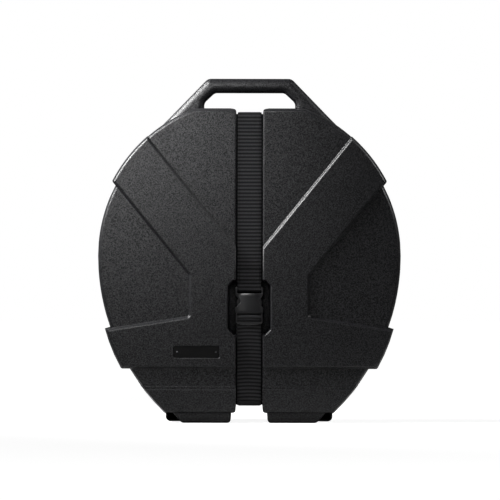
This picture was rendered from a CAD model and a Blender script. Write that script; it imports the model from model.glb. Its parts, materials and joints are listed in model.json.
# Upright moulded cymbal case: pebbled shells, ribbed webbing, side-release buckle, foam and clamp post.
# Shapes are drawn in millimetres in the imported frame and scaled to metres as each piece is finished.

import json
import math

import bmesh
import bpy
from mathutils import Matrix, Vector

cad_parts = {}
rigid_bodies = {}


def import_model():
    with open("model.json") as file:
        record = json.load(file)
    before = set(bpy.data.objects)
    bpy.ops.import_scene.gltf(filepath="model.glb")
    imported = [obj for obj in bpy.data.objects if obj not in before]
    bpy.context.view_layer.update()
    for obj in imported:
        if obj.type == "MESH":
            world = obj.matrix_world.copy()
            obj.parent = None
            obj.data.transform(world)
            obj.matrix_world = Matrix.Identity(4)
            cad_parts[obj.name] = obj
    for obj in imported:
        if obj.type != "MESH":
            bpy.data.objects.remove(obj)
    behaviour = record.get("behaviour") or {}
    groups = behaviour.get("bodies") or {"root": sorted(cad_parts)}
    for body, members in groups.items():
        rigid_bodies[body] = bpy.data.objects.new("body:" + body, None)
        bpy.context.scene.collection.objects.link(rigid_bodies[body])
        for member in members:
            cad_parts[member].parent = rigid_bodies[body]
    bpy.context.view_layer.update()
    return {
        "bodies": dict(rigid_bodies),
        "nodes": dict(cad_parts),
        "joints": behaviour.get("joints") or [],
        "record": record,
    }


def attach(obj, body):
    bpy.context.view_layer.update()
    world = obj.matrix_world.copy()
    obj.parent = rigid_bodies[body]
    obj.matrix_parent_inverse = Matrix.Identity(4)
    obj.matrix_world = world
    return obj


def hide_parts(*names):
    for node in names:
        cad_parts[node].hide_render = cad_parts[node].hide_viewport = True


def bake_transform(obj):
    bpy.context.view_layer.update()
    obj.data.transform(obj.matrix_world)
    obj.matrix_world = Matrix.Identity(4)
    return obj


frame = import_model()
mm = 0.001
scene = bpy.context.scene
print("frame loaded")


def toLinear(hexColour):
    parts = [int(hexColour[i:i + 2], 16) / 255 for i in (1, 3, 5)]
    return (*(c / 12.92 if c <= 0.04045 else ((c + 0.055) / 1.055) ** 2.4 for c in parts), 1.0)


def addNode(tree, kind, settings=None, inputs=None):  # a node given as a value stands for its first output
    node = tree.nodes.new(kind)
    for key, value in (settings or {}).items():
        setattr(node, key, value)
    for key, value in (inputs or {}).items():
        if isinstance(value, bpy.types.Node):
            value = value.outputs[0]
        if isinstance(value, bpy.types.NodeSocket):
            tree.links.new(value, node.inputs[key])
        else:
            node.inputs[key].default_value = value
    return node


def newMaterial(name):
    made = bpy.data.materials.new(name)
    made.use_nodes = True
    made.node_tree.nodes.clear()
    return made, made.node_tree


def addSkin(tree, height, strength, depthMm, looks, under=None):  # every material ends with these
    bump = addNode(tree, "ShaderNodeBump", inputs={
        "Height": height, "Strength": strength, "Distance": depthMm * mm})
    if under:
        tree.links.new(under.outputs[0], bump.inputs["Normal"])
    shader = addNode(tree, "ShaderNodeBsdfPrincipled", inputs={**looks, "Normal": bump})
    addNode(tree, "ShaderNodeOutputMaterial", inputs={"Surface": shader})


# Rotomoulded polyethylene: the mould's sandblasted grain leaves small soft pebbles with a dull sheen.
pebble = {"colour": "#0b0b0c", "worn": "#1d1d20", "crevice": "#040405", "roughness": 0.43, "grainMm": 1.9,
          "fineMm": 0.8, "grainHeight": 0.26, "edgeMm": 0.9, "creviceMm": 34.0}


def pebbledPolyethylene():
    made, tree = newMaterial("pebbled polyethylene")
    place = addNode(tree, "ShaderNodeTexCoord").outputs["Object"]
    grain = addNode(tree, "ShaderNodeTexNoise", inputs={"Vector": place, "Scale": 1000 / pebble["grainMm"],
                                                        "Detail": 1.5, "Roughness": 0.55})
    fine = addNode(tree, "ShaderNodeTexNoise", inputs={"Vector": place, "Scale": 1000 / pebble["fineMm"],
                                                       "Detail": 1.0})
    cloud = addNode(tree, "ShaderNodeTexNoise", inputs={"Vector": place, "Scale": 1000 / 160,
                                                        "Detail": 3.0})
    height = addNode(tree, "ShaderNodeMath", {"operation": "MULTIPLY_ADD"},
                     {0: fine, 1: 0.3, 2: grain})
    top = addNode(tree, "ShaderNodeMapRange", inputs={"Value": grain, 1: 0.36, 2: 0.66})
    hidden = addNode(tree, "ShaderNodeAmbientOcclusion", {"samples": 6},
                     {"Distance": pebble["creviceMm"] * mm})
    bare = addNode(tree, "ShaderNodeMapRange", inputs={"Value": hidden.outputs["AO"], 1: 0.38, 2: 0.68,
                                                       3: 0.05, 4: 1.0})
    tint = addNode(tree, "ShaderNodeMix", {"data_type": "RGBA"},
                   {0: top, 6: toLinear(pebble["colour"]), 7: toLinear(pebble["worn"])})
    shaded = addNode(tree, "ShaderNodeMix", {"data_type": "RGBA"},
                     {0: bare, 6: toLinear(pebble["crevice"]), 7: tint.outputs[2]})
    gloss = addNode(tree, "ShaderNodeMapRange", inputs={"Value": top, 3: 0.22, 4: 0.78})
    gloss = addNode(tree, "ShaderNodeMath", {"operation": "MULTIPLY"}, {0: gloss, 1: bare})
    rough = addNode(tree, "ShaderNodeMapRange", inputs={"Value": cloud, 1: 0.3, 2: 0.7,
                                                        3: pebble["roughness"] - 0.02,
                                                        4: pebble["roughness"] + 0.03})
    edge = addNode(tree, "ShaderNodeBevel", {"samples": 6}, {"Radius": pebble["edgeMm"] * mm})
    addSkin(tree, height, 0.8, pebble["grainHeight"], {
        "Base Color": shaded.outputs[2], "Roughness": rough, "IOR": 1.5, "Specular IOR Level": gloss}, edge)
    return made


# Woven polypropylene webbing: fine cross ribs of bundled yarn, each rib catching a dull line of light.
webbing = {"colour": "#040405", "light": "#1e1e21", "roughness": 0.62, "ribMm": 7.56, "yarnMm": 1.26,
           "threadMm": 1.6, "valleyGloss": 0.16, "ribGloss": 0.44}
waveScale = 2 * math.pi / 20  # at this scale the wave texture draws one band a millimetre


def wovenPolypropylene():
    made, tree = newMaterial("woven polypropylene")
    along = addNode(tree, "ShaderNodeAttribute", {"attribute_name": "alongMm"}).outputs["Fac"]
    across = addNode(tree, "ShaderNodeAttribute", {"attribute_name": "acrossMm"}).outputs["Fac"]
    weave = addNode(tree, "ShaderNodeCombineXYZ", inputs={0: across, 1: along})
    yarn = addNode(tree, "ShaderNodeTexWave", {"bands_direction": "Y", "wave_profile": "SIN"},
                   {"Vector": weave, "Scale": waveScale / webbing["yarnMm"],
                    "Distortion": 0.5, "Detail": 1.0, "Detail Scale": 0.6})
    threads = addNode(tree, "ShaderNodeTexWave", {"bands_direction": "X", "wave_profile": "SIN"},
                      {"Vector": weave, "Scale": waveScale / webbing["threadMm"]})
    ribs = addNode(tree, "ShaderNodeTexWave", {"bands_direction": "Y", "wave_profile": "SIN"},
                   {"Vector": weave, "Scale": waveScale / webbing["ribMm"],
                    "Distortion": 0.35, "Detail": 1.0, "Detail Scale": 0.12})
    lint = addNode(tree, "ShaderNodeTexNoise", inputs={"Vector": weave, "Scale": 0.35,
                                                       "Detail": 4.0})
    worn = addNode(tree, "ShaderNodeMapRange", inputs={"Value": lint, 1: 0.3, 2: 0.7, 3: 0.7,
                                                       4: 1.1})
    mixed = addNode(tree, "ShaderNodeMath", {"operation": "MULTIPLY"},
                    {0: ribs.outputs["Fac"], 1: worn})
    tint = addNode(tree, "ShaderNodeMix", {"data_type": "RGBA"},
                   {0: mixed, 6: toLinear(webbing["colour"]), 7: toLinear(webbing["light"])})
    gloss = addNode(tree, "ShaderNodeMapRange", inputs={"Value": mixed, 3: webbing["valleyGloss"],
                                                        4: webbing["ribGloss"]})
    height = addNode(tree, "ShaderNodeMath", {"operation": "MULTIPLY_ADD"},
                     {0: threads.outputs["Fac"], 1: 0.4, 2: yarn.outputs["Fac"]})
    addSkin(tree, height, 0.7, 0.25, {
        "Base Color": tint.outputs[2], "Roughness": webbing["roughness"], "Specular IOR Level": gloss})
    return made


# Injection-moulded acetal: hard, smooth and satin, with a slight waxy gloss.
acetal = {"colour": "#161618", "roughness": 0.30, "gloss": 1.0, "edgeMm": 0.5}


def mouldedAcetal():
    made, tree = newMaterial("moulded acetal")
    place = addNode(tree, "ShaderNodeTexCoord").outputs["Object"]
    grain = addNode(tree, "ShaderNodeTexNoise", inputs={"Vector": place, "Scale": 1000 / 0.6, "Detail": 2.0})
    cloud = addNode(tree, "ShaderNodeTexNoise", inputs={"Vector": place, "Scale": 1000 / 25, "Detail": 2.0})
    rough = addNode(tree, "ShaderNodeMapRange", inputs={"Value": cloud, 1: 0.3, 2: 0.7,
                                                        3: acetal["roughness"] - 0.03,
                                                        4: acetal["roughness"] + 0.05})
    edge = addNode(tree, "ShaderNodeBevel", {"samples": 6}, {"Radius": acetal["edgeMm"] * mm})
    addSkin(tree, grain, 0.2, 0.05, {
        "Base Color": toLinear(acetal["colour"]), "Roughness": rough, "IOR": 1.48,
        "Specular IOR Level": acetal["gloss"]}, edge)
    return made


# Black enamelled aluminium: an even, slightly glossy coat with faint orange peel.
enamel = {"colour": "#050506", "roughness": 0.45, "gloss": 0.22}


def blackEnamel():
    made, tree = newMaterial("black enamel")
    place = addNode(tree, "ShaderNodeTexCoord").outputs["Object"]
    peel = addNode(tree, "ShaderNodeTexNoise", inputs={"Vector": place, "Scale": 1000 / 1.4, "Detail": 1.0})
    wipe = addNode(tree, "ShaderNodeTexNoise", inputs={"Vector": place, "Scale": 1000 / 18, "Detail": 3.0})
    rough = addNode(tree, "ShaderNodeMapRange", inputs={"Value": wipe, 1: 0.3, 2: 0.7,
                                                        3: enamel["roughness"] - 0.06,
                                                        4: enamel["roughness"] + 0.08})
    addSkin(tree, peel, 0.15, 0.05, {
        "Base Color": toLinear(enamel["colour"]), "Roughness": rough, "Specular IOR Level": enamel["gloss"]})
    return made


# Bright metal, either plain aluminium or zinc-plated steel: fine turning marks and a soft grey sheen.
def turnedMetal(name, colour, roughness, markMm):
    made, tree = newMaterial(name)
    place = addNode(tree, "ShaderNodeTexCoord").outputs["Object"]
    stretch = addNode(tree, "ShaderNodeMapping", inputs={"Vector": place, "Scale": (1.0, 12.0, 1.0)})
    marks = addNode(tree, "ShaderNodeTexNoise", inputs={"Vector": stretch,
                                                        "Scale": 1000 / markMm / 4, "Detail": 3.0})
    cloud = addNode(tree, "ShaderNodeTexNoise", inputs={"Vector": place, "Scale": 1000 / 6, "Detail": 4.0})
    tint = addNode(tree, "ShaderNodeMix", {"data_type": "RGBA", "blend_type": "MULTIPLY"},
                   {0: 0.25, 6: toLinear(colour), 7: cloud.outputs["Color"]})
    rough = addNode(tree, "ShaderNodeMapRange", inputs={"Value": marks, 1: 0.3, 2: 0.7,
                                                        3: roughness - 0.06, 4: roughness + 0.1})
    addSkin(tree, marks, 0.25, 0.04, {"Base Color": tint.outputs[2], "Metallic": 1.0, "Roughness": rough})
    return made


# Cross-linked closed-cell foam: a matt grey skin of tiny cells.
foam = {"colour": "#3a3a3c", "dark": "#2a2a2c", "cellMm": 1.1}


def crosslinkedFoam():
    made, tree = newMaterial("cross-linked foam")
    place = addNode(tree, "ShaderNodeTexCoord").outputs["Object"]
    cells = addNode(tree, "ShaderNodeTexVoronoi", inputs={"Vector": place, "Scale": 1000 / foam["cellMm"]})
    cloud = addNode(tree, "ShaderNodeTexNoise", inputs={"Vector": place, "Scale": 1000 / 60, "Detail": 4.0})
    tint = addNode(tree, "ShaderNodeMix", {"data_type": "RGBA"},
                   {0: cloud, 6: toLinear(foam["dark"]), 7: toLinear(foam["colour"])})
    addSkin(tree, cells, 0.8, 0.35, {"Base Color": tint.outputs[2], "Roughness": 0.92})
    return made


# Pressed wool felt: matt, with short matted fibres.
def woolFelt():
    made, tree = newMaterial("wool felt")
    place = addNode(tree, "ShaderNodeTexCoord").outputs["Object"]
    fibre = addNode(tree, "ShaderNodeTexNoise", inputs={"Vector": place, "Scale": 1000 / 1.2, "Detail": 6.0,
                                                        "Distortion": 1.5})
    tint = addNode(tree, "ShaderNodeMix", {"data_type": "RGBA"},
                   {0: fibre, 6: toLinear("#3c3d40"), 7: toLinear("#66686c")})
    addSkin(tree, fibre, 0.9, 0.4, {"Base Color": tint.outputs[2], "Roughness": 0.95, "Sheen Weight": 0.4})
    return made


materials = {
    "lid_shell": pebbledPolyethylene(),
    "webbing": wovenPolypropylene(),
    "buckle": mouldedAcetal(),
    "label_plate": blackEnamel(),
    "rivet": turnedMetal("plain aluminium", "#6c6d70", 0.26, 0.3),
    "steel": turnedMetal("zinc-plated steel", "#b9bcc0", 0.3, 0.25),
    "foam": crosslinkedFoam(),
    "felt": woolFelt(),
}
sleeveMaterial = materials["buckle"].copy()
sleeveMaterial.name = "extruded nylon"
materials["sleeve"] = sleeveMaterial
materials["base_shell"] = materials["lid_shell"]
print("materials ready")


# Outlines are lists of (x, z) points in millimetres.

def arcPoints(x, z, radius, start, end, count):
    return [(x + radius * math.cos(start + (end - start) * i / count),
             z + radius * math.sin(start + (end - start) * i / count)) for i in range(count + 1)]


def gradedArc(x, z, radius, start, end, ends, count):
    # long first and last segments, so that deep insets keep them, and fine ones between
    step = math.copysign(ends / radius, end - start)
    inner = arcPoints(x, z, radius, start + step, end - step, count)
    return [arcPoints(x, z, radius, start, end, 1)[0]] + inner + [arcPoints(x, z, radius, start, end, 1)[1]]


def bowPoints(start, end, bow, count):
    # circular arc from start to end, standing out by bow to the left of the direction of travel
    a, b = Vector(start), Vector(end)
    chord = (b - a).length
    side = Vector((-(b - a).y, (b - a).x)) / chord
    radius = (chord * chord / 4 + bow * bow) / (2 * bow)
    centre = (a + b) / 2 - side * (radius - bow)
    halfTurn = math.asin(chord / 2 / radius)
    middle = math.atan2(side.y, side.x)
    return arcPoints(centre.x, centre.y, radius, middle + halfTurn, middle - halfTurn, count)


def mirrorHalf(half):
    return half + [(-x, z) for x, z in reversed(half) if x > 0]


def turnPoints(first, last, centre, count):
    spoke = first - centre
    sweep = math.atan2(spoke.x * (last - centre).y - spoke.y * (last - centre).x, spoke.dot(last - centre))
    start = math.atan2(spoke.y, spoke.x)
    return arcPoints(centre.x, centre.y, spoke.length, start, start + sweep, count)


def roundCorners(corners, radius, count=6):
    # a closed outline with each corner replaced by an arc; radius may be one number or one per corner
    points = []
    for i, corner in enumerate(corners):
        size = radius[i] if isinstance(radius, (list, tuple)) else radius
        if not size:
            points.append(tuple(corner))
            continue
        here = Vector(corner)
        back = (Vector(corners[i - 1]) - here).normalized()
        ahead = (Vector(corners[(i + 1) % len(corners)]) - here).normalized()
        half = back.angle(ahead) / 2
        centre = here + (back + ahead).normalized() * (size / math.sin(half))
        points += turnPoints(here + back * (size / math.tan(half)), here + ahead * (size / math.tan(half)),
                             centre, count)
    return points


def bendPath(corners, radius, count=6):  # an open path with its inner corners replaced by arcs
    points = [corners[0]]
    for before, corner, ahead in zip(corners, corners[1:], corners[2:]):
        here = Vector(corner)
        back, on = (Vector(before) - here), (Vector(ahead) - here)
        half = back.angle(on) / 2
        reach = min(radius / math.tan(half), back.length * 0.48, on.length * 0.48)
        centre = here + (back.normalized() + on.normalized()).normalized() * (
            reach * math.tan(half) / math.sin(half))
        points += turnPoints(here + back.normalized() * reach, here + on.normalized() * reach, centre, count)
    points.append(corners[-1])
    return points


def insetLoop(points, inset):
    area = sum(points[i - 1][0] * points[i][1] - points[i][0] * points[i - 1][1]
               for i in range(len(points)))
    way = 1 if area > 0 else -1
    result = []
    for i, point in enumerate(points):
        before = Vector(point) - Vector(points[i - 1])
        after = Vector(points[(i + 1) % len(points)]) - Vector(point)
        n1 = Vector((-before.y, before.x)).normalized() * way
        n2 = Vector((-after.y, after.x)).normalized() * way
        shift = (n1 + n2) / (1 + n1.dot(n2)) * inset
        result.append((point[0] + shift.x, point[1] + shift.y))
    return result


def meshObject(name, bm):
    bmesh.ops.recalc_face_normals(bm, faces=bm.faces)
    mesh = bpy.data.meshes.new(name)
    bm.to_mesh(mesh)
    bm.free()
    made = bpy.data.objects.new(name, mesh)
    scene.collection.objects.link(made)
    return made


def edgeLevels(radius, steps):  # depth and inset along a rounded edge, from the face down
    return [(radius * (1 - math.cos(a)), radius * (1 - math.sin(a)))
            for a in (math.pi / 2 * i / steps for i in range(steps + 1))]


def plateLevels(nearY, farY, radius, steps=4, farR=None):  # levels of a plate with both edges rounded
    return ([(nearY + down, side) for down, side in edgeLevels(radius, steps)]
            + [(farY - down, side) for down, side in reversed(edgeLevels(farR or radius, steps))])


def joinRings(bm, rings):
    for low, high in zip(rings, rings[1:]):
        for i in range(len(low)):
            bm.faces.new((low[i - 1], low[i], high[i], high[i - 1]))


def skinRings(name, bm, rings):
    joinRings(bm, rings)
    bm.faces.new(rings[0])
    bm.faces.new(rings[-1])
    return meshObject(name, bm)


def loft(name, outline, levels):  # closed solid through the outline at each (y, inset) level
    bm = bmesh.new()
    return skinRings(name, bm, [[bm.verts.new((x, y, z)) for x, z in insetLoop(outline, inset)]
                                for y, inset in levels])


def beam(name, profile, half):  # a (y, z) profile carried across from -half to half
    bm = bmesh.new()
    return skinRings(name, bm, [[bm.verts.new((x, y, z)) for y, z in profile] for x in (-half, half)])


def slab(name, x, y, z):
    return loft(name, [(x[0], z[0]), (x[1], z[0]), (x[1], z[1]), (x[0], z[1])], [(y[0], 0), (y[1], 0)])


def rod(name, radius, y, x, z, count=32):
    step = 2 * math.pi / count
    return loft(name, arcPoints(x, z, radius, step / 2, step * (count - 0.5), count - 1),
                [(y[0], 0), (y[1], 0)])


def applySteps(made):
    result = bpy.data.meshes.new_from_object(made.evaluated_get(bpy.context.evaluated_depsgraph_get()))
    made.modifiers.clear()
    old, made.data = made.data, result
    bpy.data.meshes.remove(old)


def cut(target, tool, operation="DIFFERENCE"):
    step = target.modifiers.new("step", "BOOLEAN")
    step.operation = operation
    step.solver = "EXACT"
    step.object = tool
    applySteps(target)
    bpy.data.objects.remove(tool, do_unlink=True)
    return target


def shadeByAngle(made, degrees):
    made.data.shade_smooth()
    made.data.set_sharp_from_angle(angle=math.radians(degrees))


def finishPiece(made, body, replaces, slot, smoothDegrees=32, weighted=True):
    # to metres, shading, material, then what it rides on and stands for
    made.data.transform(Matrix.Scale(mm, 4))
    if smoothDegrees:
        shadeByAngle(made, smoothDegrees)
    if weighted:
        weigh = made.modifiers.new("weigh", "WEIGHTED_NORMAL")
        weigh.keep_sharp = True
        weigh.weight = 80
        applySteps(made)
    made.data.materials.clear()
    made.data.materials.append(materials[slot])
    if body:
        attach(made, body)
    if replaces:
        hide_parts(*replaces)
    return made


shell = {
    "faceY": 79.0, "bandRelief": 7.0, "partingY": -12.0, "gap": 0.4, "wall": 4.5, "draft": 6.0,
    "rim": 5.0, "topZ": 661.3, "domeR": 326.3, "domeZ": 356.7, "wingR": 320.0, "wingZ": 350.0,
    "lowerR": 455.0, "bandProud": 1.2, "lowTip": (304.5, 196.5), "lowFoot": (271.2, 114.0),
    "lowBow": 2.8, "slopeTop": (254.5, 114.0), "slopeFoot": (177.6, 18.2), "slopeBow": 4.0,
    "notchZ": 334.0, "fanSlope": 1.2412, "wingTop": (127.0, 309.5), "wingLow": (126.6, 224.0),
    "wingSlope": 1.223, "wingLowSlope": 0.16, "lowBandZ": 114.0, "stepRun": 4.5, "stepTopR": 4.2,
    "stepFootR": 1.6, "cornerR": 5.0, "panelTops": (76.2, 68.6), "panelReliefs": (2.2, 5.0),
    "panelR": 2.0, "panelProud": 0.6,
}
foot = {"inner": 38.0, "draft": 0.6, "topZ": 34.0, "lidFlat": 141.0, "lidFlare": 171.5, "setBack": 1.0,
        "baseOuter": 176.2, "cornerR": 7.5, "edgeR": 4.0}
channel = {"half": 28.0, "floorY": 70.5, "topZ": 649.2, "roofZ": 680.0, "bend": 4.0, "lidLowZ": 46.5,
           "baseLowZ": 35.3, "mouthR": 9.0, "mouthTall": 12.0, "crownR": 11.0, "edgeR": 4.0,
           "runs": ((0.0, 375.0, 655.0), (shell["bandRelief"], 300.0, 366.0),
                    (shell["bandRelief"], 118.0, 184.0), (0.0, 78.0, 110.0))}
pocket = {"half": 43.5, "lowZ": 186.0, "highZ": 298.0, "chamfer": 10.5, "cornerR": 4.0, "floorY": 64.0,
          "draft": 1.5, "edgeR": 2.5}
labelRecess = {"x": -110.3, "z": 149.0, "width": 96.0, "height": 24.6, "cornerR": 3.0, "depth": 2.2,
               "rivetX": 40.5, "holeR": 1.5, "holeDepth": 6.2, "edgeR": 2.3}
handle = {"topZ": 725.0, "topHalf": 88.6, "sideHalf": 172.3, "sideZ": 638.8, "rootZ": 600.0, "rootRun": 30.0,
          "cornerR": 16.0, "frontY": -10.8, "depth": 34.0, "edgeR": 15.0, "gripLowZ": 694.6, "gripHalf": 74.0,
          "shoulderHalf": 96.3, "shoulderZ": 673.6, "floorZ": 661.8, "gripR": 14.0, "flare": 14.0}
lip = {"reach": 8.0, "thick": 3.0, "clear": 0.5, "bite": 1.0, "chamfer": 1.0}
spare = 12.0  # how far tools reach past what they cut
hair = 0.03  # keeps rounding tools off the plane of the face that they round
frontY = -(shell["faceY"] + shell["bandRelief"] + spare)
wide = 640.0
postZ = 350.0
rivetHeights = (560.0, 536.0)
holes = {"postR": 4.3, "rivetR": 2.7, "washerRoom": 9.5}


def wingCrossing(centreZ, radius):
    along = Vector((1, shell["wingSlope"])).normalized()
    start = Vector(shell["wingTop"]) - Vector((0, centreZ))
    ahead = -start.dot(along) + math.sqrt(start.dot(along) ** 2 - start.length ** 2 + radius ** 2)
    meet = start + along * ahead
    return math.atan2(meet.y, meet.x)


def caseOutline(ends=28.0, fineness=20):
    s = shell
    start = math.acos(math.sqrt(s["domeR"] ** 2 - (s["topZ"] - s["domeZ"]) ** 2) / s["domeR"])
    half = [(0.0, s["topZ"])]
    half += gradedArc(0, s["domeZ"], s["domeR"], start, wingCrossing(s["domeZ"], s["domeR"]), ends, fineness)
    half += gradedArc(0, s["wingZ"], s["wingR"], wingCrossing(s["wingZ"], s["wingR"]), 0, ends,
                      fineness // 2)
    low = -math.asin((s["wingZ"] - s["lowTip"][1]) / s["lowerR"])
    half += gradedArc(s["wingR"] - s["lowerR"], s["wingZ"], s["lowerR"], 0, low, ends, fineness // 2)[1:]
    half += bowPoints(s["lowTip"], s["lowFoot"], s["lowBow"], 3)
    half += bowPoints(s["slopeTop"], s["slopeFoot"], s["slopeBow"], 4)
    half.append((0.0, s["slopeFoot"][1]))
    return mirrorHalf(half)


def bandOutline(inset=0.0):
    # the raised band forks upwards round the fan; its wing corners are softly rounded
    s = shell
    far = s["domeR"]
    wx, wz = s["wingTop"]
    lx, lz = s["wingLow"]
    fan = far * 0.72
    fanZ = s["notchZ"] + s["fanSlope"] * fan
    corners = mirrorHalf([
        (0.0, s["notchZ"]), (fan, fanZ), (far, fanZ),
        (far, wz + s["wingSlope"] * (far - wx)), (wx, wz), (lx, lz),
        (far, lz - s["wingLowSlope"] * (far - lx)), (far, s["lowBandZ"]), (0.0, s["lowBandZ"])])
    sizes = [s["cornerR"] if abs(x) in (wx, lx) and z in (wz, lz) else 0 for x, z in corners]
    return roundCorners(corners, sizes)


def bandRim(fineness):
    s = shell
    proud = s["bandProud"]
    return mirrorHalf(
        [(0.0, s["domeZ"] + s["domeR"] + proud)]
        + arcPoints(0, s["domeZ"], s["domeR"] + proud, math.radians(82), math.radians(14), fineness)
        + bowPoints((s["lowTip"][0] + proud, s["lowTip"][1]), (s["lowFoot"][0] + proud, s["lowFoot"][1]),
                    s["lowBow"], 3)
        + [(s["lowFoot"][0], s["lowFoot"][1] - 30.0), (0.0, s["lowFoot"][1] - 30.0)])


def wallLevels(into, inset=0.0, lift=0.0, reach=spare, rim=None, shift=0.0, steps=8):
    rim = shell["rim"] if rim is None else rim
    face = -into * (shell["faceY"] + lift)
    total = abs(shell["partingY"] + into * shell["faceY"])
    slope = shell["draft"] / total
    levels = [(face + into * (down + shift), inset + slope * (total + lift - (down + shift)) + side)
              for down, side in edgeLevels(rim, steps)]
    return levels + [(face + into * (total + lift + reach), inset - slope * reach)]


def stepLevels(into, lift, inset=0.0, shift=0.0, end=spare, steps=5):
    # rounded edge, slope, fillet at the foot, then straight down into the face
    s = shell
    run, topR, footR = s["stepRun"], s["stepTopR"], s["stepFootR"]
    face = -into * (s["faceY"] + lift) + into * shift
    tilt = math.atan2(lift, run)
    levels = []
    for i in range(steps + 1):
        angle = tilt * i / steps
        levels.append((topR * (1 - math.cos(angle)),
                       inset + run + topR * math.tan(tilt / 2) - topR * math.sin(angle)))
    for i in range(steps + 1):
        angle = tilt + (math.radians(14) - tilt) * i / steps
        levels.append((lift - footR * (1 - math.cos(angle)),
                       inset - footR * math.tan(tilt / 2) + footR * math.sin(angle)))
    beyond = abs(s["partingY"] + into * (s["faceY"] + lift)) - shift + end
    levels.append((beyond, levels[-1][1]))
    return [(face + into * depth, side) for depth, side in levels]


def footLevels(into, inset=0.0, shift=0.0, extra=0.0, steps=5):
    face = -into * (shell["faceY"] - foot["setBack"]) + into * shift
    total = abs(shell["partingY"] - face) + spare + extra
    levels = [(face + into * down, inset + side) for down, side in edgeLevels(foot["edgeR"], steps)]
    return levels + [(face + into * total, inset)]


def footOutline(isLid, radius=0.0):
    f = foot
    last = [(f["lidFlat"], 0.0), (f["lidFlare"], f["topZ"])] if isLid else [
        (f["baseOuter"], 0.0), (f["baseOuter"], f["topZ"])]
    return roundCorners([(f["inner"], f["topZ"]), (f["inner"] + f["draft"], 0.0)] + last,
                        [0, radius, radius * 1.4, 0])


def channelBelt(name, lowZ, inset=0.0):
    # all that lies outside the channel floor, over the width of the channel
    c = channel
    y, low, high = c["floorY"] - inset, lowZ + inset, c["topZ"] - inset
    profile = roundCorners([(-y, low), (y, low), (y, high), (-y, high)], c["bend"] - inset / 2, 8)
    floor = beam(name + "Floor", profile, c["half"] * 2)
    around = slab(name, (-c["half"] - inset, c["half"] + inset),
                  (-shell["faceY"] - spare * 2, shell["faceY"] + spare * 2), (-spare, c["roofZ"]))
    return cut(around, floor)


def channelMouth(name, tipZ, reachZ, across, along):
    # rounds the shell's corners where the channel leaves it at the top or the underside
    half = channel["half"]
    way = 1 if reachZ > tipZ else -1
    side = [(half + across * (1 - math.cos(a)), tipZ + way * along * (math.sin(a) - 1))
            for a in (math.pi / 2 * i / 8 for i in range(9))]
    points = [(half, tipZ - way * (along + 3))] + side + [(half + across, reachZ)]
    return loft(name, points + [(-x, z) for x, z in reversed(points)],
                [(-shell["faceY"] - spare * 2, 0), (shell["faceY"] + spare * 2, 0)])


def roundChannel(made, into):
    # the channel's ends, then its long edges at each level of the face
    c, r = channel, channel["edgeR"]
    cut(made, channelMouth("mouth", shell["slopeFoot"][1], -spare, c["mouthR"], c["mouthTall"]))
    cut(made, channelMouth("crown", shell["topZ"], c["roofZ"], c["crownR"], c["crownR"]))
    for relief, low, high in c["runs"]:
        level = shell["faceY"] + relief
        profile = [(c["half"] - 0.6, level + 1.0), (c["half"] + r + 0.6, level + 1.0)]
        profile += [(c["half"] + r - r * math.sin(a), level + hair - r * (1 - math.cos(a)))
                    for a in (math.pi / 2 * i / 6 for i in range(7))]
        profile.append((c["half"] - 0.6, level - r))
        for side in (-1, 1):
            bm = bmesh.new()
            cut(made, skinRings("edge", bm, [[bm.verts.new((side * x, -into * y, z)) for x, y in profile]
                                             for z in (low, high)]))


def pocketOutline(margin=0.0):
    p = pocket
    x, low, high, c = p["half"] + margin, p["lowZ"] - margin, p["highZ"] + margin, p["chamfer"] + margin * 0.4
    return roundCorners([(x - c, low), (x, low + c), (x, high - c), (x - c, high), (c - x, high),
                         (-x, high - c), (-x, low + c), (c - x, low)], p["cornerR"])


def bothSides(points):
    return points, [(-x, z) for x, z in reversed(points)]


def mouldedShell(name, into, isLid, channelLowZ):
    s = shell
    fine = caseOutline()
    plain = caseOutline(fineness=5)
    made = loft(name, fine, wallLevels(into))
    band = loft(name + "Band", bandOutline(), stepLevels(into, s["bandRelief"], end=spare * 0.8))
    cut(band, loft("rim", bandRim(30), wallLevels(into, lift=s["bandRelief"])), "INTERSECT")
    cut(made, band, "UNION")
    for i, (top, lift) in enumerate(zip(s["panelTops"], s["panelReliefs"])):
        edge = top + s["draft"] + s["panelR"] / 2
        slope = bowPoints(s["slopeTop"], s["slopeFoot"], s["slopeBow"], 4)
        low = [p for p in slope if p[1] < edge - s["draft"] * 1.5]
        high = slope[len(slope) - len(low) - 1]
        share = (edge - low[0][1]) / (high[1] - low[0][1])
        outline = mirrorHalf([(0.0, edge), (low[0][0] + (high[0] - low[0][0]) * share, edge)] + low
                             + [(0.0, s["slopeFoot"][1])])
        cut(made, loft("panel", outline, wallLevels(into, inset=-s["panelProud"] * (i + 1), lift=lift,
                                                    rim=s["panelR"], reach=spare * (1.2 + 0.2 * i))), "UNION")
    for shape in bothSides(footOutline(isLid, foot["cornerR"])):
        cut(made, loft("foot", shape, footLevels(into)), "UNION")

    hollow = loft(name + "Hollow", plain, wallLevels(into, inset=s["wall"], shift=s["wall"], reach=spare * 2,
                                                     rim=s["rim"] * 0.6, steps=3))
    deep = loft("deep", bandOutline(), stepLevels(into, s["bandRelief"], inset=s["wall"], shift=s["wall"],
                                                  end=-spare / 3, steps=3))
    cut(deep, loft("deepRim", plain, wallLevels(into, inset=s["wall"] + s["rim"], lift=s["bandRelief"],
                                                shift=s["wall"], reach=spare * 2.2, steps=3)), "INTERSECT")
    cut(hollow, deep, "UNION")
    for shape in bothSides(footOutline(isLid)):
        cut(hollow, loft("well", shape, footLevels(into, inset=s["wall"], shift=s["wall"], extra=spare * 1.5,
                                                   steps=2)), "UNION")
    cut(hollow, channelBelt("ridge", channelLowZ, s["wall"]))
    return made, hollow


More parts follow.
